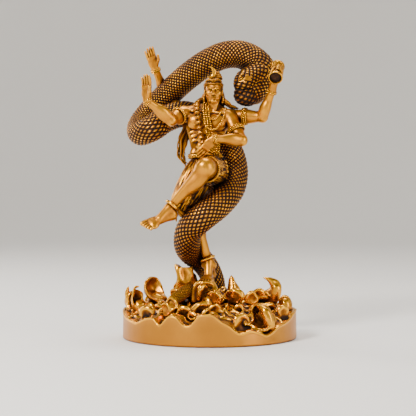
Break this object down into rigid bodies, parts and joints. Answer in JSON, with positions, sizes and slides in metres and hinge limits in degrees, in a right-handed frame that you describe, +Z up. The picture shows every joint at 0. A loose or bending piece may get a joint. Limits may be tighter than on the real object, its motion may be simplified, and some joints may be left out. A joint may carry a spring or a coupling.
{
  "type": "dancing figure statue with snake",
  "caption": "Cast brass statue of a four-armed dancing figure wrapped by a great snake, standing on a round drum filled with breaking waves.",
  "frame": {"origin": "centre of the round base's underside, on the surface it stands on", "axes": "+Z up, -Y towards the viewer who faces the figure, +X to that viewer's right"},
  "size_m": [0.134, 0.134, 0.2286],
  "materials": {
    "drum_satin": "satin cast brass with a clear amber tone",
    "sea_bronze": "antiqued cast brass, bright crests and dark hollows",
    "snake_scales": "antiqued cast brass, dark gaps and rubbed scale tips",
    "gold_skin": "burnished cast brass",
    "hair_bronze": "dark patinated cast brass, rubbed on the ridges",
    "fur_bronze": "chased cast brass with a brown patina",
    "ornament_gold": "polished cast brass with dark hollows",
    "plate_brass": "rolled brass sheet",
    "steel": "zinc plated steel",
    "felt": "black wool felt"
  },
  "bodies": {
    "root": {"base_drum": "drum_satin", "base_deck": "sea_bronze", "wave_bed": "sea_bronze", "crest_left_outer": "sea_bronze", "crest_left_inner": "sea_bronze", "crest_shell": "sea_bronze", "crest_saddle": "sea_bronze", "crest_centre_curl": "sea_bronze", "crest_point_right": "sea_bronze", "crest_hook": "sea_bronze", "crest_right_bump": "sea_bronze", "crest_front_left": "sea_bronze", "crest_front_right": "sea_bronze", "snake_lower": "snake_scales", "snake_front": "snake_scales", "snake_back": "snake_scales", "snake_loop": "snake_scales", "snake_arch": "snake_scales", "snake_hood": "snake_scales", "snake_head": "snake_scales", "snake_tail": "snake_scales", "torso": "gold_skin", "head": "gold_skin", "arm_front_right": "gold_skin", "arm_rear_right": "gold_skin", "arm_front_left": "gold_skin", "arm_rear_left": "gold_skin", "hand_front_right": "gold_skin", "hand_rear_right": "gold_skin", "hand_front_left": "gold_skin", "hand_rear_left": "gold_skin", "leg_raised": "gold_skin", "foot_raised": "gold_skin", "leg_standing": "gold_skin", "foot_standing": "gold_skin", "hair_topknot": "hair_bronze", "hair_back": "hair_bronze", "hair_locks": "hair_bronze", "tiger_skin": "fur_bronze", "skin_drape": "fur_bronze", "crescent_moon": "ornament_gold", "necklaces": "ornament_gold", "rudraksha_mala": "ornament_gold", "bead_strands": "ornament_gold", "waist_belt": "ornament_gold", "earrings": "ornament_gold", "wrist_bracelets": "ornament_gold", "armlets": "ornament_gold", "anklets": "ornament_gold", "damaru_body": "ornament_gold", "damaru_skins": "ornament_gold", "base_plate": "plate_brass", "snake_dowels": "plate_brass", "arm_dowels": "plate_brass", "base_screws": "steel", "figure_stud": "steel", "snake_stud": "steel", "stud_nuts": "steel", "stud_washers": "steel", "felt_pad": "felt"}
  },
  "joints": []
}
